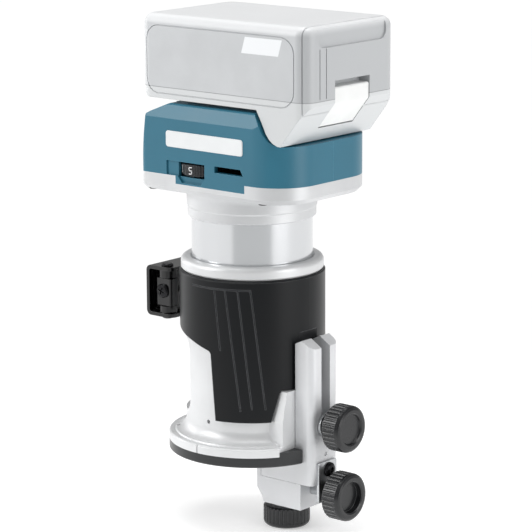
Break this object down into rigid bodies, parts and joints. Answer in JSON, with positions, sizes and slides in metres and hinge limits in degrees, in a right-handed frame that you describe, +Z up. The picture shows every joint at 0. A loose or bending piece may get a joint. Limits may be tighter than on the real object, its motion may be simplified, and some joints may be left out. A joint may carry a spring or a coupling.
{
  "type": "trim router",
  "caption": "Cordless trim router with a round clamping base, an adjustable edge guide with roller, and a slide-on battery pack.",
  "frame": {"origin": "centre of the base opening on the sole (underside of the base plate)", "axes": "+Z up along the motor axis, +X towards the edge guide and the battery's release button, -Y towards the side with the speed dial"},
  "size_m": [0.1286, 0.0937, 0.276],
  "materials": {
    "cast_aluminium": "bead blasted casting, light grey",
    "machined_aluminium": "fine turned and satin",
    "sole_plastic": "smooth black",
    "cover_plastic": "fine grain, black",
    "knob_plastic": "moulded black",
    "black_steel": "blackened steel",
    "bright_steel": "zinc plated or ground",
    "lamination": "laminated steel",
    "coil_copper": "enamelled copper",
    "teal_plastic": "satin moulded teal",
    "white_plastic": "plain, no lettering",
    "bearing_cradle": "glass filled nylon",
    "lens": "clear",
    "board": "circuit board green",
    "battery_plastic": null,
    "cell_wrap": "shrink wrapped cells"
  },
  "bodies": {
    "base": {"base_casting": "cast_aluminium", "base_plate": "sole_plastic", "base_plate_screws": "black_steel", "grip_cover": "cover_plastic", "clamp_yoke": "black_steel", "lever_pins": "black_steel", "clamp_bolt": "black_steel", "clamp_nut": "black_steel"},
    "clamp_lever": {"clamp_lever": "black_steel", "lever_cam": "black_steel"},
    "depth_pinion": {"depth_pinion": "bright_steel", "pinion_knob": "knob_plastic"},
    "motor_unit": {"motor_housing": "machined_aluminium", "depth_rack": "bright_steel", "lower_bearing": "bright_steel", "upper_bearing": "bright_steel", "bearing_holder": "bearing_cradle", "stator_core": "lamination", "stator_coils": "coil_copper", "air_baffle": "knob_plastic", "head_front": "teal_plastic", "head_back": "teal_plastic", "head_screws": "black_steel", "bracket_screws": "black_steel", "badge_plate": "white_plastic", "button_panel": "knob_plastic", "controller_board": "board", "dial_sensor": "knob_plastic", "terminal_block": "knob_plastic", "contact_blades": "coil_copper", "lamp_lenses": "lens"},
    "spindle": {"spindle": "bright_steel", "rotor_core": "lamination", "fan": "bearing_cradle", "collet_cone": "bright_steel", "collet_nut": "bright_steel"},
    "shaft_lock": {"shaft_lock_button": "knob_plastic"},
    "speed_dial": {"speed_dial": "knob_plastic"},
    "power_button": {"power_button": "white_plastic"},
    "lamp_button": {"lamp_button": "white_plastic"},
    "battery": {"battery_frame": "battery_plastic", "battery_cover": "battery_plastic", "battery_cells": "cell_wrap", "battery_board": "board", "battery_contacts": "coil_copper"},
    "battery_button": {"battery_button": "battery_plastic"},
    "guide": {"guide_holder": "machined_aluminium", "guide_set_plate": "bright_steel", "set_plate_screw": "black_steel"},
    "guide_slider": {"guide_slider": "machined_aluminium", "roller_pin": "bright_steel"},
    "guide_roller": {"guide_roller": "bright_steel"},
    "guide_clamp": {"guide_clamp_knob": "knob_plastic", "guide_clamp_screw": "bright_steel"},
    "guide_adjuster": {"guide_adjust_knob": "knob_plastic", "guide_adjust_screw": "bright_steel"},
    "slider_clamp": {"slider_clamp_knob": "knob_plastic", "slider_clamp_screw": "bright_steel"}
  },
  "joints": [
    {"name": "lever_hinge", "type": "hinge", "parent": "base", "child": "clamp_lever", "pos_m": [-0.049, -0.014, 0.0816], "axis": [0, 0, 1], "range_deg": [0, 100]},
    {"name": "depth_slide", "type": "slide", "parent": "base", "child": "motor_unit", "axis": [0, 0, 1], "range_m": [-0.021, 0.018]},
    {"name": "pinion_turn", "type": "hinge", "parent": "base", "child": "depth_pinion", "pos_m": [0, 0.04, 0.085], "axis": [1, 0, 0], "range_deg": [-172, 201]},
    {"name": "spindle_spin", "type": "hinge", "parent": "motor_unit", "child": "spindle", "pos_m": [0, 0, 0.1], "axis": [0, 0, 1], "continuous": true},
    {"name": "shaft_lock_press", "type": "slide", "parent": "motor_unit", "child": "shaft_lock", "axis": [0, -1, 0], "range_m": [0, 0.002], "stiffness_N_per_m": 400, "springref_m": -0.002},
    {"name": "dial_turn", "type": "hinge", "parent": "motor_unit", "child": "speed_dial", "pos_m": [-0.0082, -0.0276, 0.156], "axis": [0, 0, 1], "range_deg": [-43.2, 172.8]},
    {"name": "power_press", "type": "slide", "parent": "motor_unit", "child": "power_button", "axis": [0.9902, 0, -0.1396], "range_m": [0, 0.001], "stiffness_N_per_m": 500, "springref_m": -0.001},
    {"name": "lamp_press", "type": "slide", "parent": "motor_unit", "child": "lamp_button", "axis": [0.9902, 0, -0.1396], "range_m": [0, 0.001], "stiffness_N_per_m": 500, "springref_m": -0.001},
    {"name": "battery_slide", "type": "slide", "parent": "motor_unit", "child": "battery", "axis": [1, 0, 0], "range_m": [0, 0.1]},
    {"name": "battery_release", "type": "slide", "parent": "battery", "child": "battery_button", "axis": [0, 0, 1], "range_m": [0, 0.003], "stiffness_N_per_m": 300, "springref_m": -0.003},
    {"name": "guide_slide", "type": "slide", "parent": "base", "child": "guide", "axis": [0, 0, 1], "range_m": [-0.03, 0]},
    {"name": "slider_feed", "type": "slide", "parent": "guide", "child": "guide_slider", "axis": [-1, 0, 0], "range_m": [0, 0.01]},
    {"name": "adjuster_turn", "type": "hinge", "parent": "guide", "child": "guide_adjuster", "pos_m": [0.05, 0, -0.017], "axis": [1, 0, 0], "range_deg": [0, 3600]},
    {"name": "roller_spin", "type": "hinge", "parent": "guide_slider", "child": "guide_roller", "pos_m": [0.011, 0, -0.007], "axis": [0, 0, 1], "continuous": true},
    {"name": "guide_clamp_turn", "type": "hinge", "parent": "base", "child": "guide_clamp", "pos_m": [0.05, 0, 0.0204], "axis": [1, 0, 0], "range_deg": [0, 360]},
    {"name": "slider_clamp_turn", "type": "hinge", "parent": "guide", "child": "slider_clamp", "pos_m": [0.0235, 0, -0.03], "axis": [0, 0, 1], "range_deg": [0, 360]}
  ],
  "couplings": [
    {"joint": "pinion_turn", "follows": "depth_slide", "rad_per_m": -166.67},
    {"joint": "adjuster_turn", "follows": "slider_feed", "rad_per_m": 6283.2}
  ]
}
